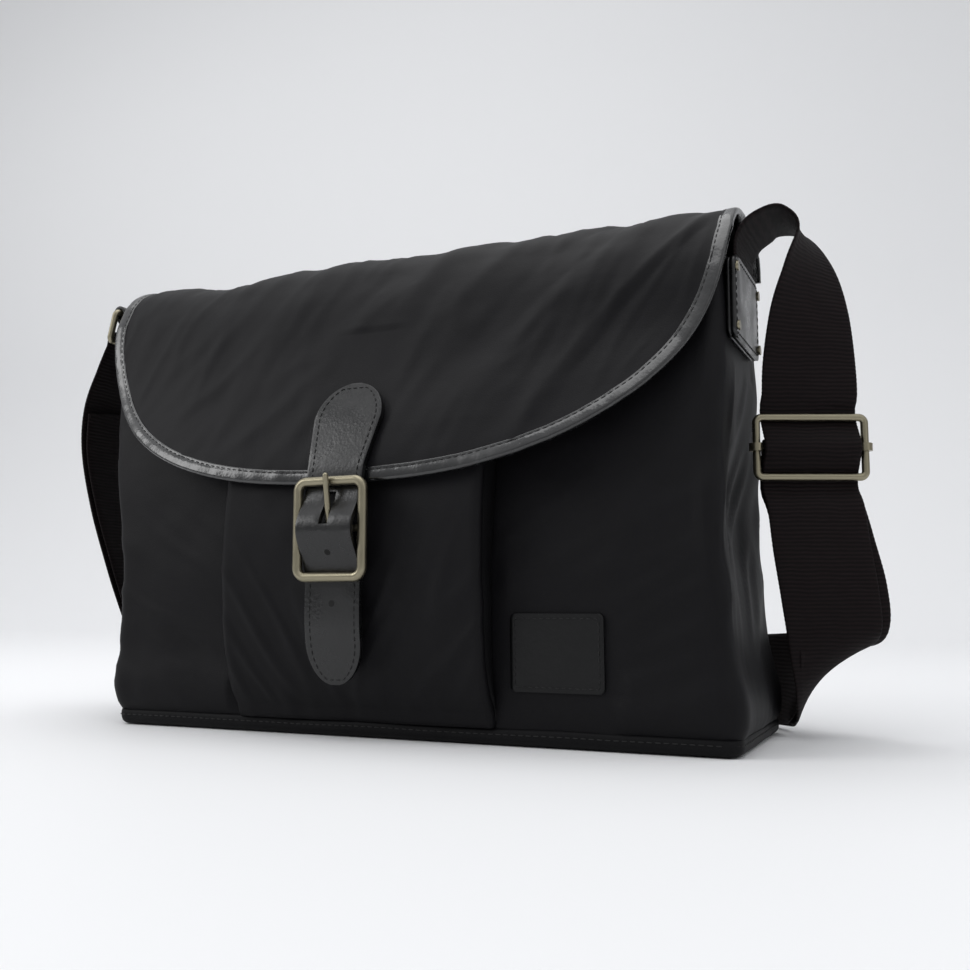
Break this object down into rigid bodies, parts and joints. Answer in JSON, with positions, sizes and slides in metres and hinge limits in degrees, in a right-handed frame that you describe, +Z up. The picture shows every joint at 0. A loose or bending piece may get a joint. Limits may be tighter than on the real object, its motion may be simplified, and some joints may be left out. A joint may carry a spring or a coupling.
{
  "type": "messenger bag",
  "caption": "Soft nylon messenger bag with a full-width flap edged in leather, a front pocket, a pin-buckle closure with a magnetic snap, and an adjustable webbing shoulder strap.",
  "frame": {"origin": "on the floor under the middle of the bag body", "axes": "+X to the wearer's right across the front as seen from the front, +Y to the back, +Z up; the front faces -Y"},
  "size_m": [0.4887, 0.2436, 0.2736],
  "materials": {
    "shell_fabric": "fine matt nylon weave, near black",
    "lining_fabric": "plain cotton lining, dark grey",
    "black_leather": "smooth semi-gloss leather with black stitching",
    "webbing": "ribbed cotton webbing, dark brown-black",
    "antique_brass": "satin antique brass",
    "board": "stiff base board"
  },
  "bodies": {
    "bag": {"base_panel": "shell_fabric", "base_board": "board", "front_panel": "shell_fabric", "back_panel": "shell_fabric", "side_gusset_left": "shell_fabric", "side_gusset_right": "shell_fabric", "lining": "lining_fabric", "inner_pocket": "lining_fabric", "pocket_panel": "shell_fabric", "pocket_pleat_left": "shell_fabric", "pocket_pleat_right": "shell_fabric", "pocket_hem": "shell_fabric", "label_patch": "black_leather", "snap_socket": "antique_brass", "snap_washer": "antique_brass", "anchor_left": "black_leather", "anchor_right": "black_leather", "anchor_rivets_left": "antique_brass", "anchor_rivets_right": "antique_brass", "slider_frame": "antique_brass", "slider_bar": "antique_brass", "shoulder_strap": "webbing", "shoulder_strap_return": "webbing"},
    "flap_top": {"flap_top_panel": "shell_fabric", "flap_top_binding_left": "black_leather", "flap_top_binding_right": "black_leather"},
    "flap_front": {"flap_front_panel": "shell_fabric", "flap_front_binding": "black_leather", "closure_strap": "black_leather", "buckle_frame": "antique_brass", "buckle_chape": "black_leather", "snap_stud": "antique_brass"},
    "prong": {"buckle_prong": "antique_brass"},
    "ring": {"strap_ring": "antique_brass"}
  },
  "joints": [
    {"name": "flap_hinge", "type": "hinge", "parent": "bag", "child": "flap_top", "pos_m": [0, 0.05, 0.264], "axis": [-1, 0, 0], "range_deg": [0, 215]},
    {"name": "flap_fold", "type": "hinge", "parent": "flap_top", "child": "flap_front", "pos_m": [0, -0.03, 0.2662], "axis": [-1, 0, 0], "range_deg": [0, 86]},
    {"name": "prong_pivot", "type": "hinge", "parent": "flap_front", "child": "prong", "pos_m": [0, -0.0896, 0.10725], "axis": [1, 0, 0], "range_deg": [0, 22]},
    {"name": "ring_swing", "type": "hinge", "parent": "bag", "child": "ring", "pos_m": [-0.203, 0, 0.258], "axis": [0, 1, 0], "range_deg": [-5, 5]}
  ],
  "couplings": [
    {"joint": "flap_fold", "follows": "flap_hinge", "ratio": 0.4}
  ]
}
